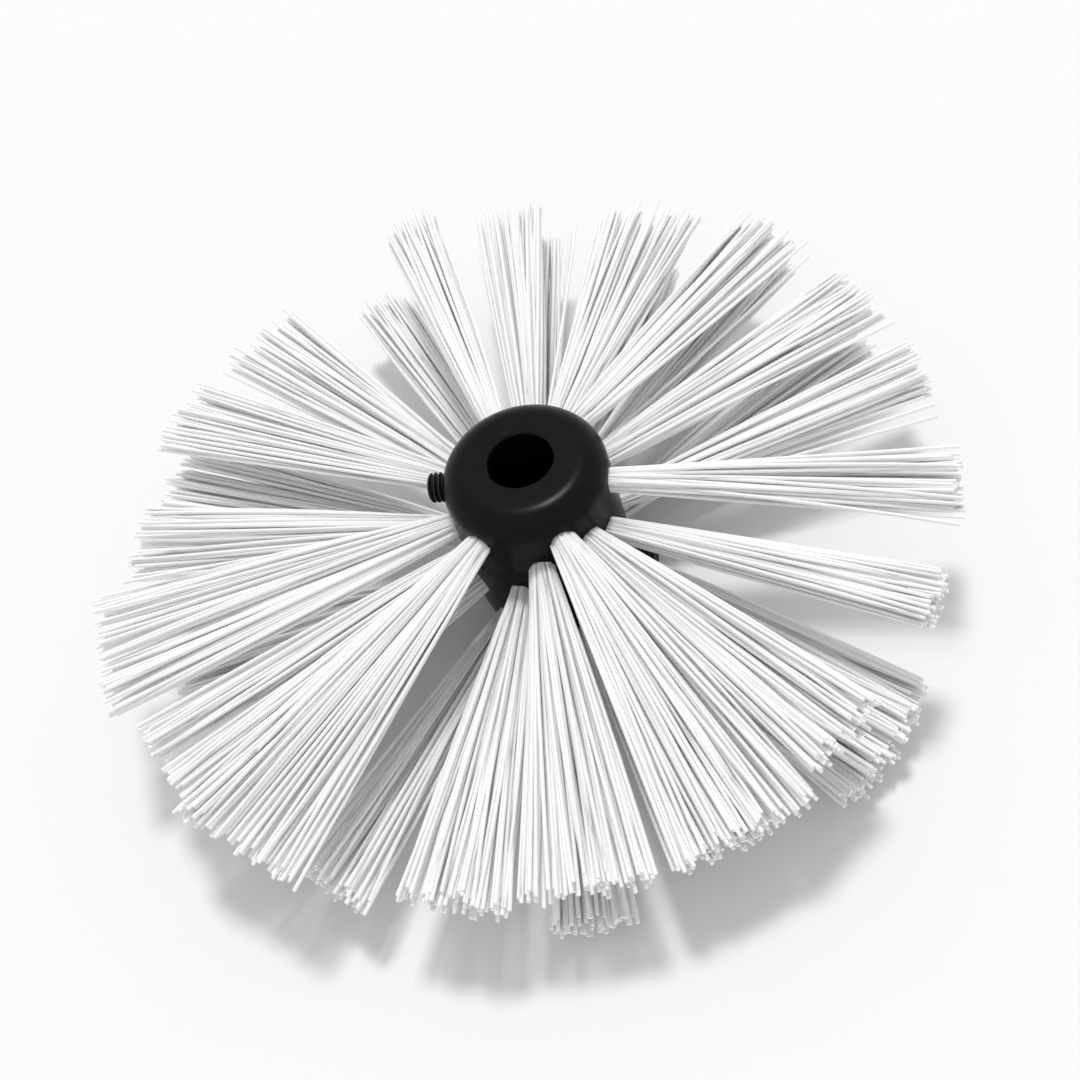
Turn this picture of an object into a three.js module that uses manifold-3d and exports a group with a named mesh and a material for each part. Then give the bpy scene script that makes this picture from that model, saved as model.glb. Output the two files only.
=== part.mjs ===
// Rotary pipe brush head: a plastic hub with a through bore for a drive shaft, two
// set screws that clamp the shaft, and bundles of nylon bristle set in blind holes
// all round. Millimetres, +Z up. The hub's axis is Z and its lower face lies on z = 0.
// Azimuth 0 looks towards -Y and grows towards +X.

import * as THREE from 'three';
import { mergeVertices } from 'three/addons/utils/BufferGeometryUtils.js';
import Module from 'manifold-3d';

const wasm = await Module();
wasm.setup();

// Driving dimensions of the hub
const HUB_RADIUS = 16;
const HUB_LENGTH = 39;
const HUB_EDGE_RADIUS = 5.2;
const BORE_RADIUS = 6.35;
const BORE_CHAMFER = 0.3;
const HUB_SIDES = 48;
const EDGE_STEPS = 4;

// Gap between pieces that seat on each other, and the reach of a cut past a surface
const CLEARANCE = 0.3;
const CUT_REACH = 2;

// The band of the hub's outer wall that carries the bristles, in slices
const SLICE_THICKNESS = 1.2;
const SLICE_NAMES = ['tufts_front', 'tufts_right', 'tufts_back', 'tufts_left'];
const FLAT_SHARE_OF_COLUMN = 0.78;

// Tuft pattern: columns round the hub between a top and a bottom row, which lie as deep
// below their ends of the hub. A column's tufts lie at shares of the way from the top
// row to the bottom row, and the list of columns repeats round the hub as a zigzag.
const COLUMN_COUNT = 18;
const COLUMN_STEP = (2 * Math.PI) / COLUMN_COUNT;
const FIRST_COLUMN_AZIMUTH = THREE.MathUtils.degToRad(-52);
const END_ROW_DEPTH = 7.2;
const COLUMN_DROPS = [[0, 1], [0.56], [0.25, 1], [0, 0.56], [0.19, 1], [0.34, 0.72]];

// Tuft holes, and the bristles in them
const TUFT_HOLE_RADIUS = 2.3;
const HOLE_FLOOR_WALL = 4;
const TUFT_HOLE_SIDES = 10;
const STRANDS_PER_TUFT = 12;
const STRAND_RADIUS = 0.36;
const STRAND_SIDES = 3;
const STRAND_BED_RADIUS = 1.5;
const TIP_RADIUS = 82;
const TIP_UNEVENNESS = 1.6;
const TIP_SPREAD_SIDEWAYS = 9.6;
const TIP_SPREAD_UPRIGHT = 3.4;

// Flat wire anchor that holds each folded bundle at the bottom of its hole
const ANCHOR_WIDTH = 3.6;
const ANCHOR_DEPTH = 1.2;
const ANCHOR_THICKNESS = 0.5;

// Set screws: one in a top row place, one in a bottom row place on the opposite side
const SCREW_RADIUS = 2.9;
const SCREW_LENGTH = 12;
const UPPER_SCREW_PROUD = 3.2;
const LOWER_SCREW_PROUD = 4.8;
const SCREW_CHAMFER = 0.5;
const SCREW_SIDES = 24;
const CUP_RADIUS = 1.5;
const CUP_DEPTH = 0.8;
const SOCKET_ACROSS_FLATS = 3;
const SOCKET_DEPTH = 3.5;
const UPPER_SCREW_COLUMN = 15;
const LOWER_SCREW_COLUMN = UPPER_SCREW_COLUMN - COLUMN_COUNT / 2;

// Sizes that follow from the driving dimensions
const BAND_LOW = HUB_EDGE_RADIUS;
const BAND_HIGH = HUB_LENGTH - HUB_EDGE_RADIUS;
const SLICE_INNER_RADIUS = HUB_RADIUS - SLICE_THICKNESS;
const BAND_FLOOR_RADIUS = SLICE_INNER_RADIUS - CLEARANCE;
const TOP_ROW_Z = HUB_LENGTH - END_ROW_DEPTH;
const BOTTOM_ROW_Z = END_ROW_DEPTH;
const HOLE_FLOOR_RADIUS = BORE_RADIUS + HOLE_FLOOR_WALL;
const ANCHOR_CENTRE_RADIUS = HOLE_FLOOR_RADIUS + CLEARANCE + ANCHOR_DEPTH / 2;
const PLUG_INNER_RADIUS = HOLE_FLOOR_RADIUS + ANCHOR_DEPTH + 2 * CLEARANCE;
const PLUG_RADIUS = TUFT_HOLE_RADIUS * Math.cos(Math.PI / TUFT_HOLE_SIDES) - CLEARANCE;
const STRAND_ROOT_RADIUS = SLICE_INNER_RADIUS + SLICE_THICKNESS / 2;
const SCREW_HOLE_RADIUS = (SCREW_RADIUS + CLEARANCE) / Math.cos(Math.PI / SCREW_SIDES);
const GOLDEN_ANGLE = Math.PI * (3 - Math.sqrt(5));
const GOLDEN_RATIO = (1 + Math.sqrt(5)) / 2;
const HEXAGON_SIDES = 6;
const WELD_DISTANCE = 1e-4;

const hubPlastic = new THREE.MeshStandardMaterial({ color: 0x1b1b1c, roughness: 0.55, metalness: 0 });
const bristleNylon = new THREE.MeshStandardMaterial({ color: 0xf1f1ee, roughness: 0.45, metalness: 0 });
const screwSteel = new THREE.MeshStandardMaterial({ color: 0x17181a, roughness: 0.4, metalness: 0.9 });
const anchorWire = new THREE.MeshStandardMaterial({ color: 0xb9b4a6, roughness: 0.35, metalness: 1 });

// Closed three.js geometry to a solid, and back
function toSolid(geometry) {
  const bare = geometry.clone();
  bare.deleteAttribute('normal');
  bare.deleteAttribute('uv');
  const merged = mergeVertices(bare, WELD_DISTANCE);
  const triVerts = new Uint32Array(merged.index.array);
  const vertProperties = new Float32Array(merged.attributes.position.array);
  return new wasm.Manifold(new wasm.Mesh({ numProp: 3, vertProperties, triVerts }));
}

function toGeometry(solid) {
  const mesh = solid.getMesh();
  const geometry = new THREE.BufferGeometry();
  geometry.setAttribute('position', new THREE.BufferAttribute(new Float32Array(mesh.vertProperties), 3));
  geometry.setIndex(new THREE.BufferAttribute(new Uint32Array(mesh.triVerts), 1));
  return geometry;
}

// Frame at a place on the hub's wall: local X along the wall, Y up, Z straight out
function wallFrame(azimuth, z) {
  const along = new THREE.Vector3(Math.cos(azimuth), Math.sin(azimuth), 0);
  const up = new THREE.Vector3(0, 0, 1);
  const out = new THREE.Vector3(Math.sin(azimuth), -Math.cos(azimuth), 0);
  return new THREE.Matrix4().makeBasis(along, up, out).setPosition(0, 0, z);
}

// Round bar along local Z between two distances from the hub's axis
function radialBar(radius, sides, from, to) {
  const bar = new THREE.CylinderGeometry(radius, radius, to - from, sides);
  bar.rotateX(Math.PI / 2);
  bar.translate(0, 0, (from + to) / 2);
  return bar;
}

function columnAzimuth(column) {
  return FIRST_COLUMN_AZIMUTH + column * COLUMN_STEP;
}

// The set screws' places
const screwPlaces = [
  { name: 'set_screw_upper', column: UPPER_SCREW_COLUMN, z: TOP_ROW_Z, proud: UPPER_SCREW_PROUD },
  { name: 'set_screw_lower', column: LOWER_SCREW_COLUMN, z: BOTTOM_ROW_Z, proud: LOWER_SCREW_PROUD },
];

function screwTakesPlace(column, z) {
  const room = 2 * TUFT_HOLE_RADIUS;
  return screwPlaces.some((place) => place.column === column && Math.abs(place.z - z) < room);
}

// Every tuft's place, column by column, without the two that the screws take
function tuftPlaces() {
  const places = [];
  for (let column = 0; column < COLUMN_COUNT; column += 1) {
    for (const drop of COLUMN_DROPS[column % COLUMN_DROPS.length]) {
      const z = THREE.MathUtils.lerp(TOP_ROW_Z, BOTTOM_ROW_Z, drop);
      if (!screwTakesPlace(column, z)) {
        places.push({ column, z });
      }
    }
  }
  return places;
}

// Hub: turned profile with rounded ends, a bore, and a band that takes the slices
function hubProfile() {
  const points = [new THREE.Vector2(BORE_RADIUS + BORE_CHAMFER, 0)];
  const arcCentre = HUB_RADIUS - HUB_EDGE_RADIUS;
  for (let step = 0; step <= EDGE_STEPS; step += 1) {
    const angle = (step / EDGE_STEPS - 1) * Math.PI / 2;
    points.push(new THREE.Vector2(
      arcCentre + HUB_EDGE_RADIUS * Math.cos(angle),
      HUB_EDGE_RADIUS + HUB_EDGE_RADIUS * Math.sin(angle),
    ));
  }
  points.push(new THREE.Vector2(BAND_FLOOR_RADIUS, BAND_LOW));
  points.push(new THREE.Vector2(BAND_FLOOR_RADIUS, BAND_HIGH));
  for (let step = 0; step <= EDGE_STEPS; step += 1) {
    const angle = (step / EDGE_STEPS) * Math.PI / 2;
    points.push(new THREE.Vector2(
      arcCentre + HUB_EDGE_RADIUS * Math.cos(angle),
      BAND_HIGH + HUB_EDGE_RADIUS * Math.sin(angle),
    ));
  }
  points.push(new THREE.Vector2(BORE_RADIUS + BORE_CHAMFER, HUB_LENGTH));
  points.push(new THREE.Vector2(BORE_RADIUS, HUB_LENGTH - BORE_CHAMFER));
  points.push(new THREE.Vector2(BORE_RADIUS, BORE_CHAMFER));
  points.push(points[0].clone());
  return points;
}

function hubGeometry(places) {
  const turned = new THREE.LatheGeometry(hubProfile(), HUB_SIDES);
  turned.rotateX(Math.PI / 2);
  let hub = toSolid(turned);
  for (const place of places) {
    const hole = radialBar(TUFT_HOLE_RADIUS, TUFT_HOLE_SIDES, HOLE_FLOOR_RADIUS, HUB_RADIUS + CUT_REACH);
    hole.applyMatrix4(wallFrame(columnAzimuth(place.column), place.z));
    hub = hub.subtract(toSolid(hole));
  }
  for (const place of screwPlaces) {
    hub = hub.subtract(screwHole(place));
  }
  return toGeometry(hub);
}

function screwHole(place) {
  const hole = radialBar(SCREW_HOLE_RADIUS, SCREW_SIDES, BORE_RADIUS - CUT_REACH, HUB_RADIUS + CUT_REACH);
  hole.applyMatrix4(wallFrame(columnAzimuth(place.column), place.z));
  return toSolid(hole);
}

// Slice of the hub's wall over some columns, with one flat under each column of tufts
function wallSlice(firstColumn, endColumn) {
  const halfGap = CLEARANCE / 2 / HUB_RADIUS;
  const halfFlat = (FLAT_SHARE_OF_COLUMN * COLUMN_STEP) / 2;
  const azimuths = [columnAzimuth(firstColumn - 0.5) + halfGap];
  for (let column = firstColumn; column < endColumn; column += 1) {
    azimuths.push(columnAzimuth(column) - halfFlat, columnAzimuth(column) + halfFlat);
  }
  azimuths.push(columnAzimuth(endColumn - 0.5) - halfGap);
  const innerCorner = SLICE_INNER_RADIUS / Math.cos(halfFlat);
  const outer = azimuths.map((azimuth) => wallPoint(HUB_RADIUS, azimuth));
  const inner = azimuths.map((azimuth) => wallPoint(innerCorner, azimuth)).reverse();
  const slice = new THREE.ExtrudeGeometry(new THREE.Shape([...outer, ...inner]), {
    depth: BAND_HIGH - BAND_LOW - 2 * CLEARANCE,
    bevelEnabled: false,
  });
  slice.translate(0, 0, BAND_LOW + CLEARANCE);
  return slice;
}

function wallPoint(radius, azimuth) {
  return new THREE.Vector2(radius * Math.sin(azimuth), -radius * Math.cos(azimuth));
}

// Strands of one tuft in its wall frame. They stand on a sunflower pattern and fan out
// by one factor sideways and one upright, so that no two of them cross.
function strandGeometries(tuftNumber) {
  const strands = [];
  for (let index = 0; index < STRANDS_PER_TUFT; index += 1) {
    const bedRadius = Math.sqrt((index + 0.5) / STRANDS_PER_TUFT);
    const angle = index * GOLDEN_ANGLE + tuftNumber;
    const sideways = bedRadius * Math.cos(angle);
    const upright = bedRadius * Math.sin(angle);
    const cut = ((index + tuftNumber * STRANDS_PER_TUFT) * GOLDEN_RATIO) % 1;
    const reach = TIP_RADIUS - TIP_UNEVENNESS * cut;
    const root = new THREE.Vector3(sideways, upright, 0).multiplyScalar(STRAND_BED_RADIUS);
    root.setZ(STRAND_ROOT_RADIUS);
    const tip = new THREE.Vector3(sideways * TIP_SPREAD_SIDEWAYS, upright * TIP_SPREAD_UPRIGHT, reach);
    strands.push(strandBetween(root, tip));
  }
  return strands;
}

// Prism of few sides between two points, with flat ends
function strandBetween(root, tip) {
  const outward = new THREE.Vector3(0, 0, 1);
  const turn = new THREE.Quaternion().setFromUnitVectors(outward, tip.clone().sub(root).normalize());
  const corners = [];
  for (const end of [root, tip]) {
    for (let side = 0; side < STRAND_SIDES; side += 1) {
      const angle = (side / STRAND_SIDES) * 2 * Math.PI;
      const corner = new THREE.Vector3(Math.cos(angle), Math.sin(angle), 0).multiplyScalar(STRAND_RADIUS);
      corners.push(corner.applyQuaternion(turn).add(end));
    }
  }
  const faces = [];
  for (let side = 0; side < STRAND_SIDES; side += 1) {
    const next = (side + 1) % STRAND_SIDES;
    faces.push(side, next, STRAND_SIDES + next, side, STRAND_SIDES + next, STRAND_SIDES + side);
  }
  for (let side = 1; side < STRAND_SIDES - 1; side += 1) {
    faces.push(0, side + 1, side, STRAND_SIDES, STRAND_SIDES + side, STRAND_SIDES + side + 1);
  }
  const strand = new THREE.BufferGeometry().setFromPoints(corners);
  strand.setIndex(faces);
  return strand;
}

// One slice with its tufts: the packed bundle in each hole, and the strands outside
function sliceGeometry(places, firstColumn, endColumn) {
  let slice = toSolid(wallSlice(firstColumn, endColumn));
  places.forEach((place, tuftNumber) => {
    if (place.column < firstColumn || place.column >= endColumn) {
      return;
    }
    const frame = wallFrame(columnAzimuth(place.column), place.z);
    const plug = radialBar(PLUG_RADIUS, TUFT_HOLE_SIDES, PLUG_INNER_RADIUS, STRAND_ROOT_RADIUS);
    slice = slice.add(toSolid(plug.applyMatrix4(frame)));
    for (const strand of strandGeometries(tuftNumber)) {
      slice = slice.add(toSolid(strand.applyMatrix4(frame)));
    }
  });
  for (const place of screwPlaces) {
    slice = slice.subtract(screwHole(place));
  }
  return toGeometry(slice);
}

// Set screw along local Z, with a cup point inside and a hexagon socket outside
function setScrewGeometry(proud) {
  const outer = HUB_RADIUS + proud;
  const inner = outer - SCREW_LENGTH;
  const profile = [
    new THREE.Vector2(0, inner + CUP_DEPTH),
    new THREE.Vector2(CUP_RADIUS, inner),
    new THREE.Vector2(SCREW_RADIUS - 2 * SCREW_CHAMFER, inner),
    new THREE.Vector2(SCREW_RADIUS, inner + 2 * SCREW_CHAMFER),
    new THREE.Vector2(SCREW_RADIUS, outer - SCREW_CHAMFER),
    new THREE.Vector2(SCREW_RADIUS - SCREW_CHAMFER, outer),
    new THREE.Vector2(0, outer),
  ];
  const turned = new THREE.LatheGeometry(profile, SCREW_SIDES);
  turned.rotateX(Math.PI / 2);
  const socketRadius = SOCKET_ACROSS_FLATS / 2 / Math.cos(Math.PI / HEXAGON_SIDES);
  const socket = radialBar(socketRadius, HEXAGON_SIDES, outer - SOCKET_DEPTH, outer + CUT_REACH);
  return toGeometry(toSolid(turned).subtract(toSolid(socket)));
}

function namedMesh(name, geometry, material) {
  const mesh = new THREE.Mesh(geometry, material);
  mesh.name = name;
  return mesh;
}

function sliceStartColumn(sliceNumber) {
  return Math.round((sliceNumber * COLUMN_COUNT) / SLICE_NAMES.length);
}

const brush = new THREE.Group();
const places = tuftPlaces();

brush.add(namedMesh('hub', hubGeometry(places), hubPlastic));

SLICE_NAMES.forEach((name, index) => {
  const geometry = sliceGeometry(places, sliceStartColumn(index), sliceStartColumn(index + 1));
  brush.add(namedMesh(name, geometry, bristleNylon));
});

places.forEach((place, index) => {
  const anchor = new THREE.BoxGeometry(ANCHOR_WIDTH, ANCHOR_THICKNESS, ANCHOR_DEPTH);
  anchor.translate(0, 0, ANCHOR_CENTRE_RADIUS);
  anchor.applyMatrix4(wallFrame(columnAzimuth(place.column), place.z));
  const number = String(index + 1).padStart(2, '0');
  brush.add(namedMesh(`tuft_anchor_${number}`, anchor, anchorWire));
});

for (const place of screwPlaces) {
  const screw = setScrewGeometry(place.proud);
  screw.applyMatrix4(wallFrame(columnAzimuth(place.column), place.z));
  brush.add(namedMesh(place.name, screw, screwSteel));
}

export default brush;
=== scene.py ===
"""Looks of a rotary pipe brush head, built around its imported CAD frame.

The brush is a black moulded hub with a through bore, two threaded set screws and tufts of
white nylon bristle that stand in blind holes on a zigzag round the hub. Everything is in
metres in the frame of the CAD part: the hub's axis is Z, and its lower face lies on z = 0.
"""

import logging
import math
import random
from dataclasses import dataclass, field
from enum import Enum

import bpy
from mathutils import Matrix, Vector


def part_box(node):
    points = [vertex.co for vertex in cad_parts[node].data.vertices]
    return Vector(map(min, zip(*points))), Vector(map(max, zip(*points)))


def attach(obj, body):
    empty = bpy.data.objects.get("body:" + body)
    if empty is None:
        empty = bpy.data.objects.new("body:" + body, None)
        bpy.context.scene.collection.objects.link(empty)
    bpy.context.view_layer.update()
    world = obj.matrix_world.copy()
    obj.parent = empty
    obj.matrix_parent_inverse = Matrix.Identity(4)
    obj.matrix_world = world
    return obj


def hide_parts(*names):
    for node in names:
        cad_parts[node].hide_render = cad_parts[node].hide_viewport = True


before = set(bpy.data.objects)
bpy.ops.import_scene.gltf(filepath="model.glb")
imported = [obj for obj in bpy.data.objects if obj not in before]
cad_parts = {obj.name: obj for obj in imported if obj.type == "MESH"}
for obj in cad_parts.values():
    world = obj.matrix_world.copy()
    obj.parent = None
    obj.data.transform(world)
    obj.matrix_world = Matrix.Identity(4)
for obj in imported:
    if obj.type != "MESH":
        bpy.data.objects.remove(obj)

MM = 0.001
UP = Vector((0.0, 0.0, 1.0))
GOLDEN_ANGLE = math.pi * (3 - math.sqrt(5))
UPPER_SCREW_PROUD = 3.2 * MM
LOWER_SCREW_PROUD = 4.8 * MM
ANCHOR_PREFIX = "tuft_anchor"
LOG = logging.getLogger("pipe_brush")


class Body(Enum):
    """The CAD bodies that the pieces ride on."""

    HEAD = "brush_head"
    UPPER_SCREW = "upper_screw"
    LOWER_SCREW = "lower_screw"


class Slot(Enum):
    """The record's material slots."""

    HUB = "hub_plastic"
    BRISTLE = "bristle_nylon"
    SCREW = "screw_steel"


class Draw(Enum):
    """The random numbers drawn for each bristle, by their step in the seed."""

    ANGLE = 1
    SCATTER_ACROSS = 2
    SCATTER_UPRIGHT = 3
    CUT = 4
    BOW_ACROSS = 5
    BOW_UPRIGHT = 6
    TONE = 7
    STRAY_PICK = 8
    STRAY = 9


def outward(azimuth: float) -> Vector:
    """Direction straight out of the hub's wall at an azimuth counted from -Y towards +X."""
    return Vector((math.sin(azimuth), -math.cos(azimuth), 0.0))


def sideways(azimuth: float) -> Vector:
    """Direction along the hub's wall at an azimuth, towards growing azimuth."""
    return Vector((math.cos(azimuth), math.sin(azimuth), 0.0))


def wall_frame(azimuth: float, height: float) -> Matrix:
    """Frame on the hub's axis whose X runs along the wall, Y up and Z straight out.

    Args:
        azimuth: Place round the hub, in radians.
        height: Height over the hub's lower face.

    Returns:
        The frame as a matrix in the brush's own frame.
    """
    turn = Matrix((sideways(azimuth), UP, outward(azimuth))).transposed().to_4x4()
    return Matrix.Translation(UP * height) @ turn


def around(radius: float, angle: float, along: float) -> Vector:
    """Place at a radius and an angle round the Z axis, and at a distance along it."""
    return Vector((radius * math.cos(angle), radius * math.sin(angle), along))


def mesh_object(name: str, points: list, faces: list) -> bpy.types.Object:
    """Makes a mesh object at the origin and links it to the scene.

    Args:
        name: Name of the object and of its mesh.
        points: Vertex places in the brush's frame.
        faces: Faces as tuples of vertex numbers.

    Returns:
        The new object.
    """
    mesh = bpy.data.meshes.new(name)
    mesh.from_pydata([tuple(point) for point in points], [], faces)
    mesh.validate()
    item = bpy.data.objects.new(name, mesh)
    bpy.context.scene.collection.objects.link(item)
    return item


def shade(item: bpy.types.Object, sharp_angle: float) -> None:
    """Shades a mesh smooth, with sharp edges where its faces meet at more than an angle."""
    item.data.polygons.foreach_set("use_smooth", [True] * len(item.data.polygons))
    item.data.set_sharp_from_angle(angle=sharp_angle)


def bake_modifiers(item: bpy.types.Object) -> None:
    """Replaces an object's mesh with its evaluated mesh and removes its modifiers."""
    graph = bpy.context.evaluated_depsgraph_get()
    graph.update()
    mesh = bpy.data.meshes.new_from_object(item.evaluated_get(graph), depsgraph=graph)
    item.modifiers.clear()
    old = item.data
    item.data = mesh
    name = old.name
    bpy.data.meshes.remove(old)
    mesh.name = name


class TreeWriter:
    """Adds nodes to a node tree and joins their sockets."""

    def __init__(self, tree: bpy.types.NodeTree) -> None:
        """Keeps the tree that the nodes go into."""
        self.tree = tree

    def add(self, kind: str, **settings: object) -> bpy.types.Node:
        """Adds a node.

        Args:
            kind: Blender's name of the node type.
            settings: Properties of the node.

        Returns:
            The new node.
        """
        node = self.tree.nodes.new(kind)
        for key, value in settings.items():
            setattr(node, key, value)
        return node

    def feed(self, socket: bpy.types.NodeSocket, value: object) -> None:
        """Joins a socket to another, or sets its constant value."""
        if isinstance(value, bpy.types.NodeSocket):
            self.tree.links.new(value, socket)
        else:
            socket.default_value = value

    def maths(self, operation: str, *values: object) -> bpy.types.NodeSocket:
        """Adds a Math node.

        Args:
            operation: Name of the operation.
            values: Its values or sockets, in the node's order.

        Returns:
            The result's socket.
        """
        node = self.add("ShaderNodeMath", operation=operation)
        for socket, value in zip(node.inputs, values):
            self.feed(socket, value)
        return node.outputs[0]

    def vectors(self, operation: str, first: object, second: object) -> bpy.types.NodeSocket:
        """Adds a Vector Math node of two vectors.

        Args:
            operation: Name of the operation.
            first: First vector or socket.
            second: Second vector or socket.

        Returns:
            The result's socket.
        """
        node = self.add("ShaderNodeVectorMath", operation=operation)
        self.feed(node.inputs[0], first)
        self.feed(node.inputs[1], second)
        return node.outputs[0]

    def scaled(self, vector: object, factor: object) -> bpy.types.NodeSocket:
        """Adds a Vector Math node that scales a vector by a number."""
        node = self.add("ShaderNodeVectorMath", operation="SCALE")
        self.feed(node.inputs[0], vector)
        self.feed(node.inputs["Scale"], factor)
        return node.outputs[0]

    def mixed(self, factor: object, first: object, second: object) -> bpy.types.NodeSocket:
        """Adds a Mix node of two colours."""
        node = self.add("ShaderNodeMix", data_type="RGBA")
        self.feed(node.inputs["Factor"], factor)
        self.feed(node.inputs["A"], first)
        self.feed(node.inputs["B"], second)
        return node.outputs["Result"]

    def noise(self, place: object, scale: float, detail: float) -> bpy.types.NodeSocket:
        """Adds a noise texture at a place."""
        node = self.add("ShaderNodeTexNoise")
        self.feed(node.inputs["Vector"], place)
        self.feed(node.inputs["Scale"], scale)
        self.feed(node.inputs["Detail"], detail)
        return node.outputs["Fac"]

    def ranged(self, value: object, before: tuple, after: tuple) -> bpy.types.NodeSocket:
        """Adds a Map Range node.

        Args:
            value: Value or socket to map.
            before: Ends of the span that the value comes from.
            after: Ends of the span that it is mapped to.

        Returns:
            The mapped value's socket.
        """
        node = self.add("ShaderNodeMapRange")
        self.feed(node.inputs["Value"], value)
        self.feed(node.inputs["From Min"], before[0])
        self.feed(node.inputs["From Max"], before[1])
        self.feed(node.inputs["To Min"], after[0])
        self.feed(node.inputs["To Max"], after[1])
        return node.outputs["Result"]


def blank_material(name: str) -> tuple[bpy.types.Material, TreeWriter, bpy.types.Node]:
    """Makes a material with a Principled shader.

    Args:
        name: Name of the material.

    Returns:
        The material, the writer of its node tree and its shader.
    """
    material = bpy.data.materials.new(name)
    material.use_nodes = True
    shader = material.node_tree.nodes["Principled BSDF"]
    return material, TreeWriter(material.node_tree), shader


@dataclass(frozen=True)
class PlasticFinish:
    """Black moulded plastic with a satin surface, a fine grain and faint cloudy tone and gloss."""

    name: str = "hub_black_plastic"
    dark: tuple = (0.0021, 0.0021, 0.0022, 1.0)
    pale: tuple = (0.0036, 0.0035, 0.0036, 1.0)
    specular: float = 0.10
    cloud_scale: float = 160.0
    cloud_detail: float = 5.0
    cloud_span: tuple = (0.3, 0.7)
    roughness_span: tuple = (0.22, 0.30)
    grain_scale: float = 5200.0
    grain_detail: float = 2.0
    grain_depth: float = 0.02 * MM
    grain_strength: float = 0.5

    def material(self) -> bpy.types.Material:
        """Builds the material."""
        material, tree, shader = blank_material(self.name)
        place = tree.add("ShaderNodeTexCoord").outputs["Object"]
        cloud = tree.noise(place, self.cloud_scale, self.cloud_detail)
        tree.feed(shader.inputs["Base Color"], tree.mixed(cloud, self.dark, self.pale))
        gloss = tree.ranged(cloud, self.cloud_span, self.roughness_span)
        tree.feed(shader.inputs["Roughness"], gloss)
        grain = tree.noise(place, self.grain_scale, self.grain_detail)
        bump = tree.add("ShaderNodeBump")
        tree.feed(bump.inputs["Height"], grain)
        tree.feed(bump.inputs["Distance"], self.grain_depth)
        tree.feed(bump.inputs["Strength"], self.grain_strength)
        tree.feed(shader.inputs["Normal"], bump.outputs["Normal"])
        tree.feed(shader.inputs["Specular IOR Level"], self.specular)
        return material


@dataclass(frozen=True)
class NylonFinish:
    """White nylon bristle, a little different from strand to strand and along each strand."""

    name: str = "bristle_white_nylon"
    pale: tuple = (0.975, 0.975, 0.973, 1.0)
    grey: tuple = (0.95, 0.951, 0.95, 1.0)
    root_tint: tuple = (0.95, 0.95, 0.945, 1.0)
    root_share: float = 0.16
    roughness: float = 0.55
    specular: float = 0.25
    glow: float = 0.5
    glow_depth: float = 0.25 * MM

    def material(self) -> bpy.types.Material:
        """Builds the material."""
        material, tree, shader = blank_material(self.name)
        tone = tree.add("ShaderNodeAttribute", attribute_name=BristleSet.TONE).outputs["Fac"]
        share = tree.add("ShaderNodeAttribute", attribute_name=BristleSet.SHARE).outputs["Fac"]
        strand = tree.mixed(tone, self.grey, self.pale)
        root = tree.ranged(share, (0.0, self.root_share), (1.0, 0.0))
        tree.feed(shader.inputs["Base Color"], tree.mixed(root, strand, self.root_tint))
        tree.feed(shader.inputs["Roughness"], self.roughness)
        tree.feed(shader.inputs["Specular IOR Level"], self.specular)
        tree.feed(shader.inputs["Subsurface Weight"], self.glow)
        tree.feed(shader.inputs["Subsurface Radius"], (self.glow_depth,) * 3)
        tree.feed(shader.inputs["Subsurface Scale"], 1.0)
        return material


@dataclass(frozen=True)
class SteelFinish:
    """Metal with a fine speckled grain: black oxide on the screws, zinc on the anchors."""

    name: str
    dark: tuple
    pale: tuple
    roughness: float
    metallic: float = 1.0
    speck_scale: float = 2400.0
    speck_detail: float = 4.0
    smoothest: float = 0.8
    roughest: float = 1.25

    def material(self) -> bpy.types.Material:
        """Builds the material."""
        material, tree, shader = blank_material(self.name)
        place = tree.add("ShaderNodeTexCoord").outputs["Object"]
        speck = tree.noise(place, self.speck_scale, self.speck_detail)
        tree.feed(shader.inputs["Base Color"], tree.mixed(speck, self.dark, self.pale))
        span = (self.roughness * self.smoothest, self.roughness * self.roughest)
        tree.feed(shader.inputs["Roughness"], tree.ranged(speck, (0.0, 1.0), span))
        tree.feed(shader.inputs["Metallic"], self.metallic)
        return material


BLACK_OXIDE = SteelFinish(
    name="screw_black_oxide",
    dark=(0.012, 0.012, 0.013, 1.0),
    pale=(0.05, 0.05, 0.052, 1.0),
    roughness=0.42,
    metallic=0.9,
)
ZINC = SteelFinish(
    name="anchor_zinc",
    dark=(0.42, 0.42, 0.42, 1.0),
    pale=(0.6, 0.6, 0.58, 1.0),
    roughness=0.35,
)


@dataclass(frozen=True)
class TuftAim:
    """Where a tuft's bristles end, and how wide they fan out.

    Attributes:
        azimuth: Azimuth of the middle of the tips, in degrees.
        depth: How far the tips lie below the hub's upper face, in millimetres.
        reach: Distance of the tips from the hub's axis, in millimetres.
        fan: Width of the fan, as a share of the usual width.
    """

    azimuth: float
    depth: float
    reach: float
    fan: float


@dataclass(frozen=True)
class TuftPlace:
    """One tuft's place on the hub's wall, and where its bristles end."""

    column: int
    azimuth: float
    height: float
    aim: TuftAim


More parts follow.
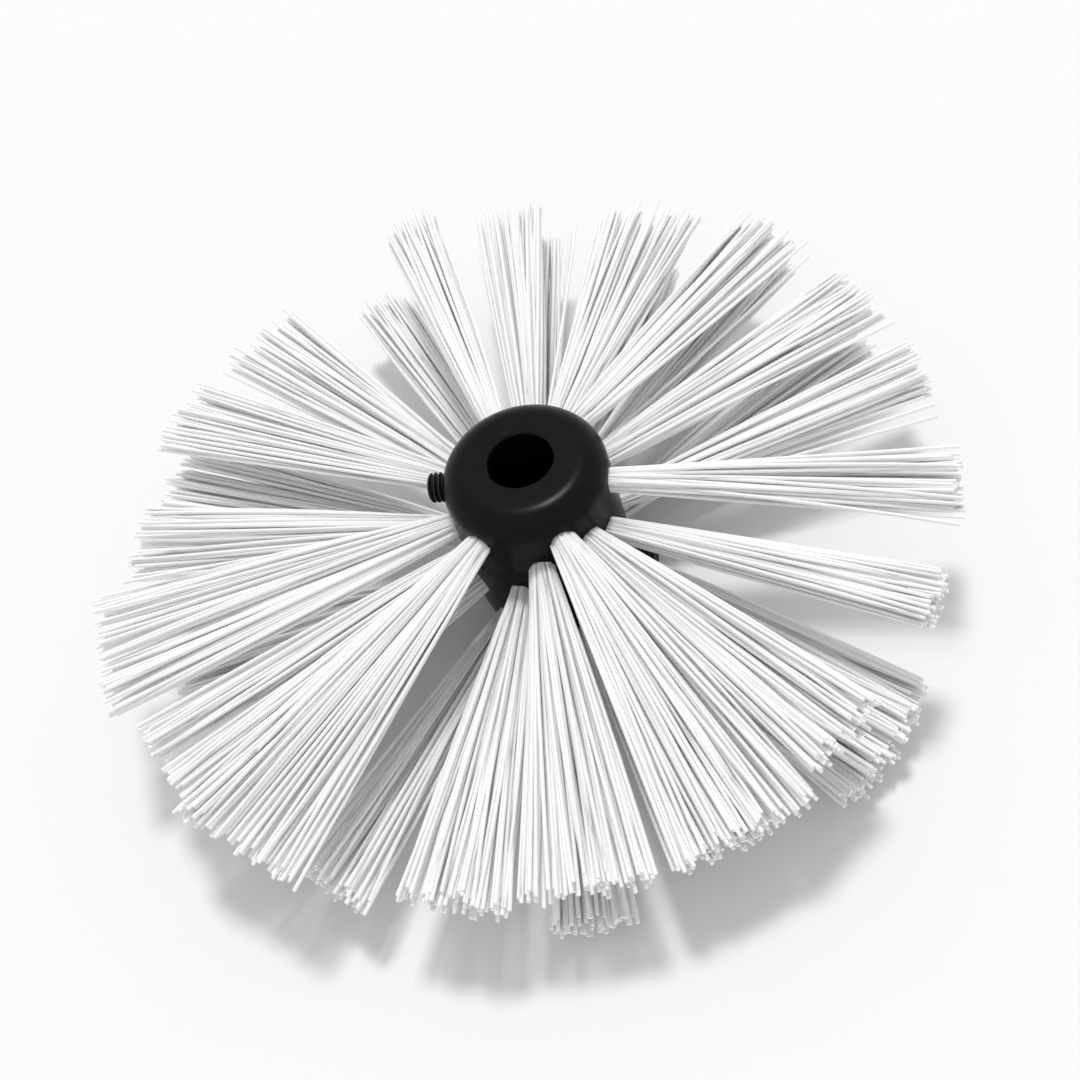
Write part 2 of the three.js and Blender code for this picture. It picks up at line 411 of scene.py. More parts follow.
@dataclass(frozen=True)
class TuftPattern:
    """Columns of tufts round the hub. A column's tufts lie at shares of the way down.

    Tufts that the photograph shows have their own aims, by column and row. A hidden tuft is aimed
    at random near its own place: its stray azimuth is in degrees, its depths and reach are in
    millimetres, and the steps keep the columns' random numbers apart.
    """

    columns: int = 18
    first_azimuth: float = math.radians(-52.0)
    end_row_depth: float = 7.2 * MM
    column_drops: tuple = ((0, 1), (0.56,), (0.25, 1), (0, 0.56), (0.19, 1), (0.34, 0.72))
    slices: tuple = ("front", "right", "back", "left")
    upper_screw_column: int = 15
    usual_reach: float = 81.0
    stray_azimuth: float = 3.0
    stray_depth: float = 2.0
    floor_depth: float = 32.0
    fan_span: tuple = (0.7, 1.1)
    seed: int = 5
    seed_step: int = 1000
    column_step: int = 10
    seen_aims: dict = field(default_factory=lambda: {
        (0, 0): TuftAim(-56.0, 15.0, 87.0, 1.55),
        (0, 1): TuftAim(-45.0, 25.0, 82.5, 0.85),
        (1, 0): TuftAim(-27.0, 17.0, 82.5, 1.1),
        (2, 0): TuftAim(-10.0, 16.0, 81.5, 1.3),
        (3, 0): TuftAim(10.0, 16.0, 82.0, 1.45),
        (4, 0): TuftAim(26.0, 10.0, 81.5, 0.95),
        (5, 0): TuftAim(47.5, 9.5, 81.0, 0.55),
        (5, 1): TuftAim(39.0, 29.5, 81.0, 0.7),
        (6, 0): TuftAim(67.0, 12.0, 80.5, 0.75),
        (7, 0): TuftAim(92.0, 19.0, 80.5, 0.7),
        (8, 0): TuftAim(108.0, 18.0, 81.0, 0.8),
        (9, 0): TuftAim(125.0, 13.0, 80.5, 0.8),
        (10, 0): TuftAim(145.0, 16.0, 80.5, 1.1),
        (11, 0): TuftAim(168.0, 13.0, 80.5, 0.8),
        (12, 0): TuftAim(-177.0, 7.5, 80.5, 0.6),
        (12, 1): TuftAim(-168.0, 26.0, 80.5, 0.6),
        (13, 0): TuftAim(-147.0, 13.0, 81.0, 1.05),
        (14, 0): TuftAim(-129.0, 9.0, 81.0, 0.95),
        (14, 1): TuftAim(-124.0, 20.0, 82.0, 0.9),
        (15, 1): TuftAim(-107.0, 11.0, 80.5, 1.0),
        (16, 0): TuftAim(-88.5, 9.0, 88.0, 1.5),
        (17, 0): TuftAim(-69.0, 12.0, 86.0, 1.4),
    })

    def azimuth(self, column: int) -> float:
        """Azimuth of a column."""
        return self.first_azimuth + column * 2 * math.pi / self.columns

    def lower_screw_column(self) -> int:
        """Column of the lower screw, on the opposite side of the hub."""
        return self.upper_screw_column - self.columns // 2

    def places(self, hub_length: float) -> list[TuftPlace]:
        """Every tuft's place, without the two places that the screws take.

        Args:
            hub_length: Length of the hub.

        Returns:
            The places, column by column from the top down.
        """
        top = hub_length - self.end_row_depth
        span = hub_length - 2 * self.end_row_depth
        taken = {(self.upper_screw_column, 0), (self.lower_screw_column(), 1)}
        found = []
        for column in range(self.columns):
            for row, drop in enumerate(self.column_drops[column % len(self.column_drops)]):
                if (column, row) not in taken:
                    height = top - drop * span
                    aim = self.aim(column, row, (hub_length - height) / MM)
                    found.append(TuftPlace(column, self.azimuth(column), height, aim))
        return found

    def aim(self, column: int, row: int, depth: float) -> TuftAim:
        """Where a tuft's bristles end: as photographed, or else near its own place.

        Args:
            column: Number of the tuft's column.
            row: Number of the tuft in its column, from the top.
            depth: How far the tuft's hole lies below the hub's upper face, in millimetres.

        Returns:
            The tuft's aim.
        """
        if (column, row) in self.seen_aims:
            return self.seen_aims[column, row]
        draw = random.Random(self.seed * self.seed_step + column * self.column_step + row)
        azimuth = math.degrees(self.azimuth(column)) + draw.uniform(-1.0, 1.0) * self.stray_azimuth
        sunk = min(depth + draw.uniform(-1.0, 1.0) * self.stray_depth, self.floor_depth)
        return TuftAim(azimuth, sunk, self.usual_reach, draw.uniform(*self.fan_span))

    def slice_of(self, place: TuftPlace) -> str:
        """Name of the slice of the wall that carries a tuft."""
        count = len(self.slices)
        ends = [math.floor((number + 1) * self.columns / count + 0.5) for number in range(count)]
        return next(name for name, end in zip(self.slices, ends) if place.column < end)


@dataclass
class Hub:
    """The moulded hub: rounded ends, a chamfered bore, tuft holes and screw holes."""

    radius: float
    length: float
    bore_radius: float = 6.35 * MM
    bore_chamfer: float = 0.3 * MM
    edge_radius: float = 5.2 * MM
    tuft_hole_radius: float = 2.3 * MM
    hole_floor_radius: float = 10.35 * MM
    screw_hole_radius: float = 3.08 * MM
    turn_steps: int = 180
    arc_steps: int = 14
    wall_step: float = 0.9 * MM
    hole_sides: int = 32
    cut_reach: float = 2.0 * MM
    sharp_angle: float = math.radians(32.0)

    def profile(self) -> list[tuple[float, float]]:
        """Closed section of the hub as pairs of radius and height, lower end first."""
        centre = self.radius - self.edge_radius
        points = [(self.bore_radius + self.bore_chamfer, 0.0)]
        for step in range(self.arc_steps + 1):
            angle = (step / self.arc_steps - 1) * math.pi / 2
            points.append((centre + self.edge_radius * math.cos(angle),
                           self.edge_radius * (1 + math.sin(angle))))
        wall_low = self.edge_radius
        wall_high = self.length - self.edge_radius
        wall_steps = round((wall_high - wall_low) / self.wall_step)
        for step in range(1, wall_steps):
            points.append((self.radius, wall_low + (wall_high - wall_low) * step / wall_steps))
        for step in range(self.arc_steps + 1):
            angle = step / self.arc_steps * math.pi / 2
            points.append((centre + self.edge_radius * math.cos(angle),
                           wall_high + self.edge_radius * math.sin(angle)))
        points.append((self.bore_radius + self.bore_chamfer, self.length))
        points.append((self.bore_radius, self.length - self.bore_chamfer))
        points.append((self.bore_radius, self.bore_chamfer))
        return points

    def turned(self) -> bpy.types.Object:
        """Turns the section round the axis into a closed ring."""
        section = self.profile()
        points = []
        for step in range(self.turn_steps):
            angle = 2 * math.pi * step / self.turn_steps
            points.extend(around(radius, angle, height) for radius, height in section)
        size = len(section)
        faces = []
        for step in range(self.turn_steps):
            here = step * size
            there = (step + 1) % self.turn_steps * size
            for row in range(size):
                below = (row + 1) % size
                faces.append((here + row, there + row, there + below, here + below))
        return mesh_object("hub_body", points, faces)

    def cutter(self, places: list[TuftPlace], screws: list["SetScrew"]) -> bpy.types.Object:
        """Makes the round bars of all the holes as one object.

        Args:
            places: The tufts' places.
            screws: The set screws.

        Returns:
            The bars, which don't touch each other.
        """
        reach = self.radius + self.cut_reach
        screw_from = self.bore_radius - self.cut_reach
        bars = [(place, self.tuft_hole_radius, self.hole_floor_radius) for place in places]
        bars += [(screw, self.screw_hole_radius, screw_from) for screw in screws]
        points = []
        faces = []
        for seat, radius, start in bars:
            place = wall_frame(seat.azimuth, seat.height)
            near = len(points)
            far = near + self.hole_sides
            for distance in (start, reach):
                for side in range(self.hole_sides):
                    angle = 2 * math.pi * side / self.hole_sides
                    points.append(place @ around(radius, angle, distance))
            for side in range(self.hole_sides):
                after = (side + 1) % self.hole_sides
                faces.append((near + side, near + after, far + after, far + side))
            faces.append(tuple(near + side for side in reversed(range(self.hole_sides))))
            faces.append(tuple(far + side for side in range(self.hole_sides)))
        return mesh_object("hub_hole_cutter", points, faces)

    def build(self, places: list[TuftPlace], screws: list["SetScrew"]) -> bpy.types.Object:
        """Builds the drilled hub.

        Args:
            places: The tufts' places.
            screws: The set screws.

        Returns:
            The finished hub.
        """
        hub = self.turned()
        cutter = self.cutter(places, screws)
        drill = hub.modifiers.new("drill", "BOOLEAN")
        drill.operation = "DIFFERENCE"
        drill.solver = "EXACT"
        drill.object = cutter
        bake_modifiers(hub)
        bpy.data.objects.remove(cutter)
        shade(hub, self.sharp_angle)
        return hub


@dataclass
class SetScrew:
    """A threaded set screw with a hexagon socket outside and a cup point inside.

    The outer end is counted from the hub's axis. The slope and root shape the thread's flanks, the
    chamfer starts with a share of its width, and the lip widens the socket's mouth.
    """

    name: str
    body: Body
    azimuth: float
    height: float
    outer_end: float
    length: float = 12.0 * MM
    crest_radius: float = 2.94 * MM
    thread_depth: float = 0.55 * MM
    thread_slope: float = 1.35
    thread_root: float = 0.12
    pitch: float = 1.0 * MM
    chamfer: float = 0.6 * MM
    chamfer_start: float = 0.4
    cup_radius: float = 1.5 * MM
    cup_depth: float = 0.8 * MM
    socket_across_flats: float = 3.0 * MM
    socket_depth: float = 3.5 * MM
    socket_cone: float = 0.5 * MM
    lip_flare: float = 1.08
    lip_depth: float = 0.15 * MM
    sides: int = 48
    rows_per_pitch: int = 14
    sharp_angle: float = math.radians(50.0)

    def thread_radius(self, along: float, angle: float) -> float:
        """Radius of the thread at a place.

        Args:
            along: Distance from the inner end.
            angle: Angle round the screw.

        Returns:
            The radius, drawn in at both ends by the chamfers.
        """
        share = (along / self.pitch - angle / (2 * math.pi)) % 1.0
        peak = 1.0 - abs(2.0 * share - 1.0)
        ridge = min(1.0, max(0.0, self.thread_slope * peak - self.thread_root))
        radius = self.crest_radius - self.thread_depth * (1.0 - ridge)
        start = self.chamfer * self.chamfer_start
        ends = min(along + start, self.length - along + start)
        return min(radius, self.crest_radius - self.chamfer + ends)

    def hexagon(self, angle: float) -> float:
        """Distance of the socket's wall from the screw's axis at an angle."""
        folded = (angle + math.pi / 6) % (math.pi / 3) - math.pi / 6
        return self.socket_across_flats / 2 / math.cos(folded)

    def rings(self) -> list[list[tuple[float, float]]]:
        """Rings of radius and distance from the inner end, from the cup to the socket's floor."""
        angles = [2 * math.pi * side / self.sides for side in range(self.sides)]
        rows = round(self.length / self.pitch * self.rows_per_pitch)
        rings = [[(self.cup_radius, 0.0) for _ in angles]]
        for row in range(rows + 1):
            along = self.length * row / rows
            rings.append([(self.thread_radius(along, angle), along) for angle in angles])
        rings.append([(self.hexagon(angle) * self.lip_flare, self.length) for angle in angles])
        lip = self.length - self.lip_depth
        floor = self.length - self.socket_depth
        rings.append([(self.hexagon(angle), lip) for angle in angles])
        rings.append([(self.hexagon(angle), floor) for angle in angles])
        return rings

    def build(self) -> bpy.types.Object:
        """Builds the screw along its hole."""
        place = wall_frame(self.azimuth, self.height)
        inner = self.outer_end - self.length
        points = [place @ Vector((0.0, 0.0, inner + self.cup_depth))]
        rings = self.rings()
        for ring in rings:
            for side, (radius, along) in enumerate(ring):
                angle = 2 * math.pi * side / self.sides
                points.append(place @ around(radius, angle, inner + along))
        tip_of_cone = self.length - self.socket_depth - self.socket_cone
        points.append(place @ Vector((0.0, 0.0, inner + tip_of_cone)))
        faces = []
        for side in range(self.sides):
            after = (side + 1) % self.sides
            faces.append((0, 1 + after, 1 + side))
            for number in range(len(rings) - 1):
                here = 1 + number * self.sides
                there = here + self.sides
                faces.append((here + side, here + after, there + after, there + side))
            last = 1 + (len(rings) - 1) * self.sides
            faces.append((last + side, last + after, len(points) - 1))
        screw = mesh_object(self.name + "_threaded", points, faces)
        shade(screw, self.sharp_angle)
        return screw


@dataclass
class BristleSet:
    """Geometry Nodes tree that grows the bristles of every tuft in one slice of the wall.

    A tuft's roots fill a round bed in the hole, and its tips a wide, low fan. The spreads are half
    the fan's width and height. Scatter, cut, bow and stray amounts are the most that a bristle is
    moved by. A bristle strays when its draw, from -1 to 1, is above the limit.
    """

    ROOT = "root_place"
    TIP = "tip_place"
    BOW = "bow"
    TONE = "tone"
    SHARE = "length_share"
    OUT = "tuft_out"
    SIDE = "tuft_side"
    AIM = "tuft_aim"
    FAN = "tuft_fan"
    ARCH_SCALE = 4.0

    hub_radius: float
    hub_length: float
    per_tuft: int = 76
    bristle_radius: float = 0.38 * MM
    bed_radius: float = 1.86 * MM
    root_depth: float = 3.5 * MM
    spread_sideways: float = 9.0 * MM
    spread_upright: float = 3.4 * MM
    scatter: float = 0.8 * MM
    cut_unevenness: float = 2.4 * MM
    bow_amount: float = 0.8 * MM
    stray_limit: float = 0.93
    stray_amount: float = 9.0 * MM
    steps: int = 7
    sides: int = 6
    sharp_angle: float = math.radians(40.0)
    seed: int = 11
    seed_step: int = 100
    inputs: dict = field(default_factory=dict)

    def socket(self, tree: bpy.types.NodeTree, name: str, kind: str) -> None:
        """Adds a named input to the tree and keeps its identifier."""
        item = tree.interface.new_socket(name, in_out="INPUT", socket_type=kind)
        self.inputs[name] = item.identifier

    def settings(self) -> dict:
        """Values of the tree's inputs that every slice shares, by name."""
        return {
            "Bristles per tuft": self.per_tuft,
            "Bed radius": self.bed_radius,
            "Root depth": self.root_depth,
            "Spread sideways": self.spread_sideways,
            "Spread upright": self.spread_upright,
            "Scatter": self.scatter,
            "Cut unevenness": self.cut_unevenness,
            "Bow": self.bow_amount,
            "Stray limit": self.stray_limit,
            "Stray amount": self.stray_amount,
            "Bristle radius": self.bristle_radius,
            "Steps": self.steps,
            "Sides": self.sides,
        }

    def tree(self) -> bpy.types.NodeTree:
        """Builds the tree.

        Returns:
            The tree, whose input is one point for each tuft.
        """
        tree = bpy.data.node_groups.new("bristle_growth", "GeometryNodeTree")
        tree.interface.new_socket("Geometry", in_out="INPUT", socket_type="NodeSocketGeometry")
        tree.interface.new_socket("Geometry", in_out="OUTPUT", socket_type="NodeSocketGeometry")
        for label, value in self.settings().items():
            kind = "NodeSocketInt" if isinstance(value, int) else "NodeSocketFloat"
            self.socket(tree, label, kind)
        self.socket(tree, "Seed", "NodeSocketInt")
        self.socket(tree, "Material", "NodeSocketMaterial")
        write = TreeWriter(tree)
        sizes = write.add("NodeGroupInput").outputs
        roots = self.sow(write, sizes)
        self.grow(write, sizes, roots)
        return tree

    def sow(self, write: TreeWriter, sizes: bpy.types.NodeOutputs) -> bpy.types.NodeSocket:
        """Adds the nodes that set one point for each bristle, with its root, tip and bow.

        Args:
            write: Writer of the tree.
            sizes: Outputs of the group's input node.

        Returns:
            The points' socket.
        """
        points = write.add("GeometryNodeMeshToPoints")
        write.feed(points.inputs["Mesh"], sizes["Geometry"])
        copies = write.add("GeometryNodeDuplicateElements", domain="POINT")
        write.feed(copies.inputs["Geometry"], points.outputs["Points"])
        write.feed(copies.inputs["Amount"], sizes["Bristles per tuft"])
        number = copies.outputs["Duplicate Index"]

        # Even places on a disc: each bristle has its share of the area.
        counted = write.maths("ADD", number, 0.5)
        filled = write.maths("DIVIDE", counted, sizes["Bristles per tuft"])
        bed = write.maths("SQRT", filled)
        spun = write.maths("MULTIPLY", number, GOLDEN_ANGLE)
        angle = write.maths("ADD", spun, self.drawn(write, sizes, Draw.ANGLE))
        across = write.maths("MULTIPLY", bed, write.maths("COSINE", angle))
        upright = write.maths("MULTIPLY", bed, write.maths("SINE", angle))
        out = self.named(write, self.OUT, "FLOAT_VECTOR")
        side = self.named(write, self.SIDE, "FLOAT_VECTOR")
        aim = self.named(write, self.AIM, "FLOAT_VECTOR")
        fan = self.named(write, self.FAN, "FLOAT")
        mouth = write.add("GeometryNodeInputPosition").outputs[0]
        up = tuple(UP)

        # The root lies on the bed, inside the hole.
        root_across = write.scaled(side, write.maths("MULTIPLY", across, sizes["Bed radius"]))
        root_upright = write.scaled(up, write.maths("MULTIPLY", upright, sizes["Bed radius"]))
        inward = write.scaled(out, write.maths("MULTIPLY", sizes["Root depth"], -1.0))
        bed_middle = write.vectors("ADD", mouth, inward)
        root = write.vectors("ADD", bed_middle, write.vectors("ADD", root_across, root_upright))

        # The tip lies in the fan round the tuft's aim. A few bristles stray sideways.
        stray_draw = self.drawn(write, sizes, Draw.STRAY_PICK)
        picked = write.maths("GREATER_THAN", stray_draw, sizes["Stray limit"])
        stray = write.maths("MULTIPLY", self.drawn(write, sizes, Draw.STRAY), sizes["Stray amount"])
        across_draw = self.drawn(write, sizes, Draw.SCATTER_ACROSS)
        strewn = write.maths("MULTIPLY", across_draw, sizes["Scatter"])
        strew_across = write.maths("ADD", strewn, write.maths("MULTIPLY", picked, stray))
        upright_draw = self.drawn(write, sizes, Draw.SCATTER_UPRIGHT)
        strew_upright = write.maths("MULTIPLY", upright_draw, sizes["Scatter"])
        fan_width = write.maths("MULTIPLY", fan, sizes["Spread sideways"])
        fan_place = self.evened(write, across)
        tip_across = write.maths("MULTIPLY_ADD", fan_place, fan_width, strew_across)
        tip_upright = write.maths("MULTIPLY_ADD", upright, sizes["Spread upright"], strew_upright)
        cut_share = write.maths("ABSOLUTE", self.drawn(write, sizes, Draw.CUT))
        cut = write.maths("MULTIPLY", cut_share, sizes["Cut unevenness"])
        short = write.scaled(out, write.maths("MULTIPLY", cut, -1.0))
        tip_flat = write.vectors("ADD", write.scaled(side, tip_across), write.scaled(up, tip_upright))
        tip = write.vectors("ADD", write.vectors("ADD", aim, short), tip_flat)

        bow_across = write.maths("MULTIPLY", self.drawn(write, sizes, Draw.BOW_ACROSS), sizes["Bow"])
        bow_upright = write.maths("MULTIPLY", self.drawn(write, sizes, Draw.BOW_UPRIGHT), sizes["Bow"])
        bow = write.vectors("ADD", write.scaled(side, bow_across), write.scaled(up, bow_upright))

        # The tone runs from 0 to 1.
        tone = write.maths("MULTIPLY_ADD", self.drawn(write, sizes, Draw.TONE), 0.5, 0.5)

        points = copies.outputs["Geometry"]
        for name, vector in ((self.ROOT, root), (self.TIP, tip), (self.BOW, bow)):
            points = self.stored(write, points, name, vector, "FLOAT_VECTOR")
        points = self.stored(write, points, self.TONE, tone, "FLOAT")
        return points

    def grow(self, write: TreeWriter, sizes: bpy.types.NodeOutputs,
             roots: bpy.types.NodeSocket) -> None:
        """Adds the nodes that turn each point into a bent round strand.

        Args:
            write: Writer of the tree.
            sizes: Outputs of the group's input node.
            roots: Points with each bristle's root, tip and bow.
        """
        line = write.add("GeometryNodeCurvePrimitiveLine")
        stepped = write.add("GeometryNodeResampleCurve")
        write.feed(stepped.inputs["Curve"], line.outputs[0])
        write.feed(stepped.inputs["Count"], sizes["Steps"])
        planted = write.add("GeometryNodeInstanceOnPoints")
        write.feed(planted.inputs["Points"], roots)
        write.feed(planted.inputs["Instance"], stepped.outputs[0])
        loose = write.add("GeometryNodeRealizeInstances")
        write.feed(loose.inputs[0], planted.outputs[0])
        share = write.add("GeometryNodeSplineParameter").outputs["Factor"]
        shared = self.stored(write, loose.outputs[0], self.SHARE, share, "FLOAT")
        root = self.named(write, self.ROOT, "FLOAT_VECTOR")
        tip = self.named(write, self.TIP, "FLOAT_VECTOR")
        bow = self.named(write, self.BOW, "FLOAT_VECTOR")
        here = self.named(write, self.SHARE, "FLOAT")
        run = write.scaled(write.vectors("SUBTRACT", tip, root), here)
        arch = write.maths("MULTIPLY", here, write.maths("SUBTRACT", 1.0, here))
        swell = write.maths("MULTIPLY", arch, self.ARCH_SCALE)
        place = write.vectors("ADD", write.vectors("ADD", root, run), write.scaled(bow, swell))
        bent = write.add("GeometryNodeSetPosition")
        write.feed(bent.inputs["Geometry"], shared)
        write.feed(bent.inputs["Position"], place)
        ring = write.add("GeometryNodeCurvePrimitiveCircle")
        write.feed(ring.inputs["Resolution"], sizes["Sides"])
        write.feed(ring.inputs["Radius"], sizes["Bristle radius"])
        round_strand = write.add("GeometryNodeCurveToMesh")
        write.feed(round_strand.inputs["Curve"], bent.outputs[0])
        write.feed(round_strand.inputs["Profile Curve"], ring.outputs[0])
        round_strand.inputs["Fill Caps"].default_value = True
        whole = write.add("GeometryNodeRealizeInstances")
        write.feed(whole.inputs[0], round_strand.outputs[0])
        dressed = write.add("GeometryNodeSetMaterial")
        write.feed(dressed.inputs["Geometry"], whole.outputs[0])
        write.feed(dressed.inputs["Material"], sizes["Material"])
        result = write.add("NodeGroupOutput")
        write.feed(result.inputs[0], dressed.outputs[0])

    def evened(self, write: TreeWriter, across: bpy.types.NodeSocket) -> bpy.types.NodeSocket:
        """Adds nodes that turn the round bed's places into even steps from -1 to 1.

        Args:
            write: Writer of the tree.
            across: Place across the bed, from -1 to 1.

        Returns:
            The place across the fan of tips, from -1 to 1.
        """
        square = write.maths("MULTIPLY", across, across)
        chord = write.maths("SQRT", write.maths("SUBTRACT", 1.0, square))
        wedge = write.maths("ARCSINE", across)
        area = write.maths("ADD", write.maths("MULTIPLY", across, chord), wedge)
        return write.maths("MULTIPLY", area, 2 / math.pi)

    def drawn(self, write: TreeWriter, sizes: bpy.types.NodeOutputs,
              draw: Draw) -> bpy.types.NodeSocket:
        """Adds a seeded random number between -1 and 1 for each bristle.

        Args:
            write: Writer of the tree.
            sizes: Outputs of the group's input node.
            draw: Which of the bristle's random numbers it is.

        Returns:
            The number's socket.
        """
        node = write.add("FunctionNodeRandomValue", data_type="FLOAT")
        low = next(item for item in node.inputs if item.name == "Min" and item.type == "VALUE")
        low.default_value = -1.0
        write.feed(node.inputs["ID"], write.add("GeometryNodeInputIndex").outputs[0])
        write.feed(node.inputs["Seed"], write.maths("ADD", sizes["Seed"], float(draw.value)))
        return next(item for item in node.outputs if item.type == "VALUE")

    def named(self, write: TreeWriter, name: str, kind: str) -> bpy.types.NodeSocket:
        """Adds a node that reads a named attribute."""
        node = write.add("GeometryNodeInputNamedAttribute", data_type=kind)
        node.inputs["Name"].default_value = name
        return node.outputs["Attribute"]

    def stored(self, write: TreeWriter, shape: object, name: str, value: object,
               kind: str) -> bpy.types.NodeSocket:
        """Adds a node that stores a named attribute on points.

        Args:
            write: Writer of the tree.
            shape: Socket of the geometry.
            name: Name of the attribute.
            value: Socket of its value.
            kind: Its data type.

        Returns:
            Socket of the geometry with the attribute.
        """
        node = write.add("GeometryNodeStoreNamedAttribute", data_type=kind, domain="POINT")
        write.feed(node.inputs["Geometry"], shape)
        node.inputs["Name"].default_value = name
        write.feed(node.inputs["Value"], value)
        return node.outputs["Geometry"]

    def seeded_points(self, name: str, places: list[TuftPlace]) -> bpy.types.Object:
        """Makes one point for each tuft, with its directions, aim and fan.

        Args:
            name: Name of the object.
            places: The tufts' places.

        Returns:
            The object that the tree grows from.
        """
        points = [outward(place.azimuth) * self.hub_radius + UP * place.height for place in places]
        item = mesh_object(name, points, [])
        out = []
        side = []
        aim = []
        fan = []
        for place in places:
            out.extend(outward(place.azimuth))
            side.extend(sideways(place.azimuth))
            end = outward(math.radians(place.aim.azimuth)) * place.aim.reach * MM
            aim.extend(end + UP * (self.hub_length - place.aim.depth * MM))
            fan.append(place.aim.fan)
        layers = item.data.attributes
        for label, values in ((self.OUT, out), (self.SIDE, side), (self.AIM, aim)):
            layers.new(label, "FLOAT_VECTOR", "POINT").data.foreach_set("vector", values)
        layers.new(self.FAN, "FLOAT", "POINT").data.foreach_set("value", fan)
        return item

    def build(self, name: str, number: int, places: list[TuftPlace], tree: bpy.types.NodeTree,
              material: bpy.types.Material) -> bpy.types.Object:
        """Grows the bristles of one slice.

        Args:
            name: Name of the piece.
            number: Number of the slice, which picks its random numbers.
            places: The slice's tufts.
            tree: The growth tree.
            material: The bristles' finish.

        Returns:
            The bristles as a plain mesh.
        """
        item = self.seeded_points(name, places)
        growth = item.modifiers.new("growth", "NODES")
        growth.node_group = tree
        for label, value in self.settings().items():
            growth[self.inputs[label]] = value
        growth[self.inputs["Seed"]] = self.seed + number * self.seed_step
        growth[self.inputs["Material"]] = material
        bake_modifiers(item)
        shade(item, self.sharp_angle)
        return item


@dataclass
class Studio:
    """Pale floor, white background, one soft light and the photograph's camera.

    The camera looks down on the middle of the hub's upper face, and the shifts move that face from
    the middle of the picture. The surround lights with its fill colour and is seen in the
    backdrop's colour.
    """

    hub_length: float
    frame_pixels: float = 1080.0
    focal_pixels: float = 1770.0
    elevation: float = math.radians(52.4)
    roll: float = math.radians(-20.3)
    distance: float = 330.0 * MM
    shift_right: float = -3.8 * MM
    shift_up: float = 14.98 * MM
    sensor: float = 36.0
    clip_start: float = 0.01
    floor_size: float = 24.0
    floor_colour: tuple = (0.90, 0.90, 0.90, 1.0)
    floor_roughness: float = 0.8
    floor_specular: float = 0.2
    fill_colour: tuple = (0.64, 0.63, 0.622, 1.0)
    backdrop_colour: tuple = (0.97, 0.97, 0.97, 1.0)
    key_from: tuple = (0.12, 0.24, 0.93)
    key_strength: float = 1.48
    key_angle: float = math.radians(11.0)
    key_colour: tuple = (0.977, 1.0, 1.019)

    def camera(self) -> None:
        """Places the camera by the photograph's viewing angle."""
        right = Vector((1.0, 0.0, 0.0))
        ahead = Vector((0.0, math.cos(self.elevation), -math.sin(self.elevation)))
        above = right.cross(ahead)
        turned_right = right * math.cos(self.roll) + above * math.sin(self.roll)
        turned_up = above * math.cos(self.roll) - right * math.sin(self.roll)
        data = bpy.data.cameras.new("photo_camera")
        data.sensor_width = self.sensor
        data.lens = self.sensor * self.focal_pixels / self.frame_pixels
        data.clip_start = self.clip_start
        item = bpy.data.objects.new("photo_camera", data)
        place = UP * self.hub_length - turned_right * self.shift_right - turned_up * self.shift_up
        place -= ahead * self.distance
        turn = Matrix((turned_right, turned_up, -ahead)).transposed().to_4x4()
        item.matrix_world = Matrix.Translation(place) @ turn
        bpy.context.scene.collection.objects.link(item)
        bpy.context.scene.camera = item

    def key_light(self) -> None:
        """Adds one even light from above and a little behind, with soft edges to its shadows."""
        data = bpy.data.lights.new("key_light", "SUN")
        data.energy = self.key_strength
        data.angle = self.key_angle
        data.color = self.key_colour
        item = bpy.data.objects.new("key_light", data)
        item.matrix_world = Vector(self.key_from).to_track_quat("Z", "Y").to_matrix().to_4x4()
        bpy.context.scene.collection.objects.link(item)

    def world(self) -> None:
        """Sets a surround that fills the shadows and is seen as a white backdrop."""
        world = bpy.data.worlds.new("studio_surround")
        world.use_nodes = True
        tree = TreeWriter(world.node_tree)
        path = tree.add("ShaderNodeLightPath")
        seen = tree.maths("MAXIMUM", path.outputs["Is Camera Ray"], path.outputs["Is Glossy Ray"])
        seen = tree.maths("MAXIMUM", seen, path.outputs["Is Transmission Ray"])
        colour = tree.mixed(seen, self.fill_colour, self.backdrop_colour)
        tree.feed(world.node_tree.nodes["Background"].inputs["Color"], colour)
        bpy.context.scene.world = world

    def floor(self) -> None:
        """Lays a pale floor under the hub."""
        half = self.floor_size / 2
        corners = [(-half, -half, 0.0), (half, -half, 0.0), (half, half, 0.0), (-half, half, 0.0)]
        item = mesh_object("studio_floor", corners, [(0, 1, 2, 3)])
        material, tree, shader = blank_material("floor_pale")
        tree.feed(shader.inputs["Base Color"], self.floor_colour)
        tree.feed(shader.inputs["Roughness"], self.floor_roughness)
        tree.feed(shader.inputs["Specular IOR Level"], self.floor_specular)
        item.data.materials.append(material)

    def build(self) -> None:
        """Sets up the whole studio."""
        bpy.context.scene.view_settings.view_transform = "Standard"
        self.world()
        self.floor()
        self.key_light()
        self.camera()


def put_on(item: bpy.types.Object, material: bpy.types.Material, body: Body) -> None:
    """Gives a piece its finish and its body."""
    item.data.materials.clear()
    item.data.materials.append(material)
    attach(item, body.value)


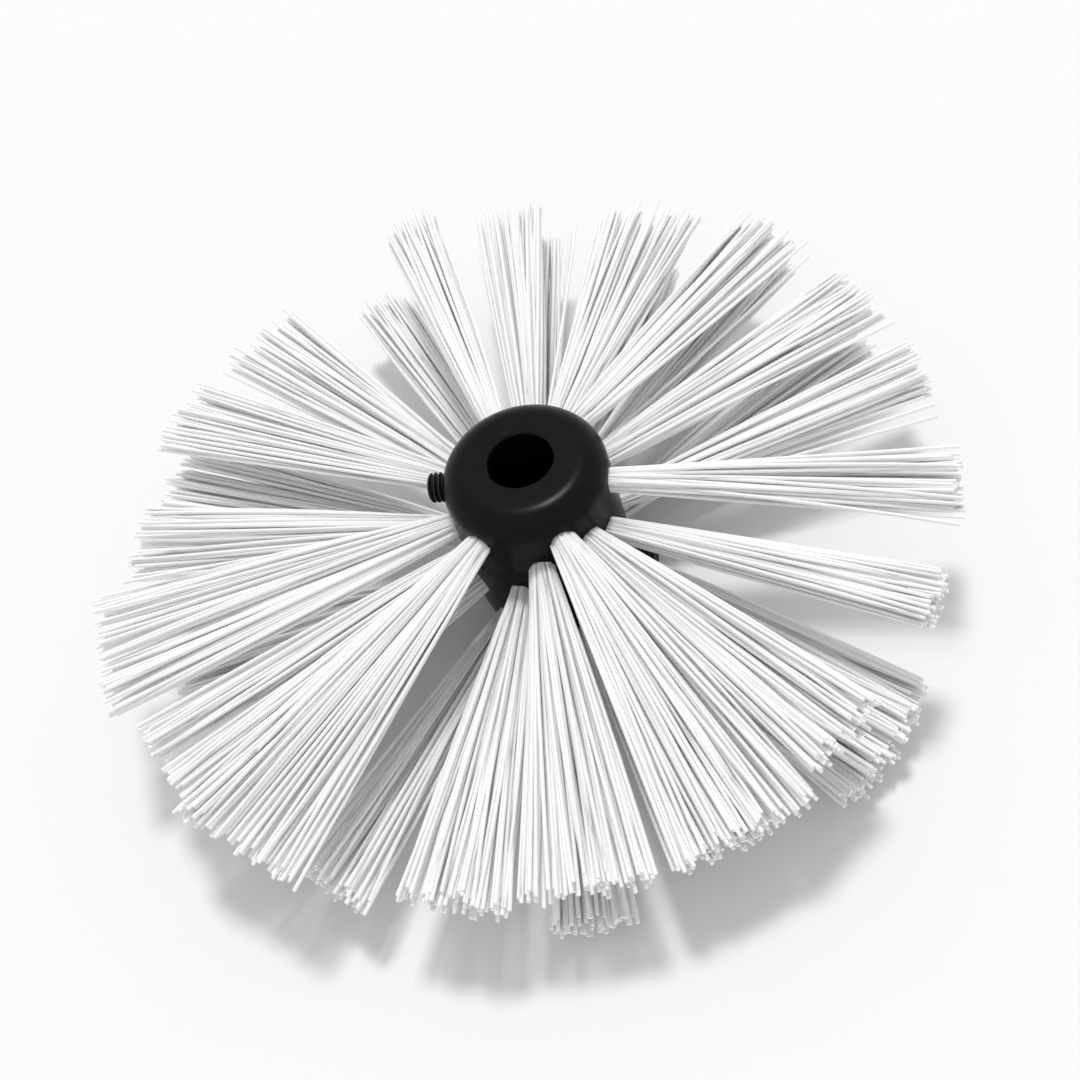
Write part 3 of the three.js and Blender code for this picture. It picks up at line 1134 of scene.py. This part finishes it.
def set_screws(pattern: TuftPattern, hub_radius: float, hub_length: float) -> list[SetScrew]:
    """Places the two set screws, on opposite sides of the hub and near its two ends.

    Args:
        pattern: Pattern of the tufts, in which each screw takes a tuft's place.
        hub_radius: Radius of the hub's wall.
        hub_length: Length of the hub.

    Returns:
        The upper and the lower screw.
    """
    upper = SetScrew(
        name="set_screw_upper",
        body=Body.UPPER_SCREW,
        azimuth=pattern.azimuth(pattern.upper_screw_column),
        height=hub_length - pattern.end_row_depth,
        outer_end=hub_radius + UPPER_SCREW_PROUD,
    )
    lower = SetScrew(
        name="set_screw_lower",
        body=Body.LOWER_SCREW,
        azimuth=pattern.azimuth(pattern.lower_screw_column()),
        height=pattern.end_row_depth,
        outer_end=hub_radius + LOWER_SCREW_PROUD,
    )
    return [upper, lower]


def dress_anchors() -> int:
    """Gives the anchors, which keep their CAD shapes, their finish.

    Returns:
        The number of anchors.
    """
    zinc = ZINC.material()
    anchors = [item for name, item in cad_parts.items() if name.startswith(ANCHOR_PREFIX)]
    for item in anchors:
        item.data.materials.clear()
        item.data.materials.append(zinc)
    return len(anchors)


def main() -> None:
    """Builds every piece, dresses it and reports it."""
    logging.basicConfig(level=logging.INFO, format="%(message)s")
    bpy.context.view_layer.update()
    hub_low, hub_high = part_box("hub")
    hub_length = hub_high.z - hub_low.z
    hub_radius = (hub_high.x - hub_low.x) / 2
    pattern = TuftPattern()
    places = pattern.places(hub_length)
    screws = set_screws(pattern, hub_radius, hub_length)
    nylon = NylonFinish().material()

    hub = Hub(hub_radius, hub_length).build(places, screws)
    put_on(hub, PlasticFinish().material(), Body.HEAD)
    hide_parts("hub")
    LOG.info("hub: %d faces", len(hub.data.polygons))

    steel = BLACK_OXIDE.material()
    for screw in screws:
        piece = screw.build()
        put_on(piece, steel, screw.body)
        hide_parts(screw.name)
        LOG.info("%s: %d faces", screw.name, len(piece.data.polygons))

    bristles = BristleSet(hub_radius, hub_length)
    tree = bristles.tree()
    for number, name in enumerate(pattern.slices):
        chosen = [place for place in places if pattern.slice_of(place) == name]
        piece = bristles.build("bristles_" + name, number, chosen, tree, nylon)
        put_on(piece, nylon, Body.HEAD)
        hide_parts("tufts_" + name)
        LOG.info("bristles_%s: %d tufts, %d faces", name, len(chosen), len(piece.data.polygons))

    LOG.info("anchors: %d", dress_anchors())

    Studio(hub_length).build()


if __name__ == "__main__":
    main()
